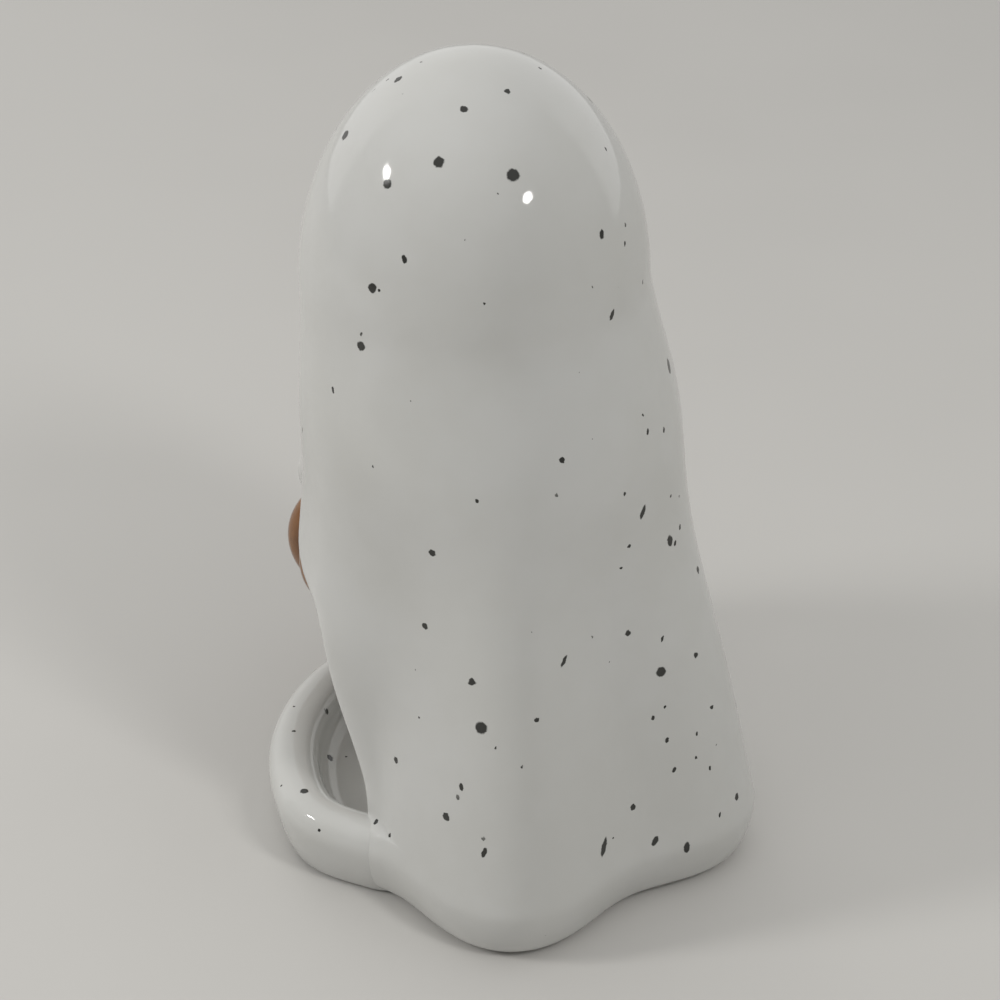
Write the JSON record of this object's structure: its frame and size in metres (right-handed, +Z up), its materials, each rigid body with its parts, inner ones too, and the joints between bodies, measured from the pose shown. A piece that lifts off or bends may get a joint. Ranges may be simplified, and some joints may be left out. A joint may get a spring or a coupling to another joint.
{
  "type": "ceramic ghost figure",
  "caption": "Glazed ceramic ghost under a draped sheet, holding a pumpkin over a shallow open dish in the front of its foot, free-standing seasonal ornament.",
  "frame": {"origin": "centre of the figure's footprint box, on the surface that the foot pads stand on", "axes": "+Z up to the crown, -Y towards the figure's front where its face, pumpkin and dish are, +X towards its left hand"},
  "size_m": [0.0908, 0.1022, 0.1508],
  "materials": {
    "white_glaze": "gloss, dark iron specks",
    "orange_glaze": "gloss",
    "brown_glaze": "satin",
    "black_glaze": "gloss",
    "bare_clay": "matt, unglazed",
    "pad_rubber": "matt"
  },
  "bodies": {
    "root": {"ghost_shell": "white_glaze", "front_dish": "white_glaze", "left_sleeve": "white_glaze", "right_sleeve": "white_glaze", "pumpkin": "orange_glaze", "pumpkin_stem": "brown_glaze", "left_eye": "black_glaze", "right_eye": "black_glaze", "base_slab": "bare_clay", "foot_pads": "pad_rubber"}
  },
  "joints": []
}
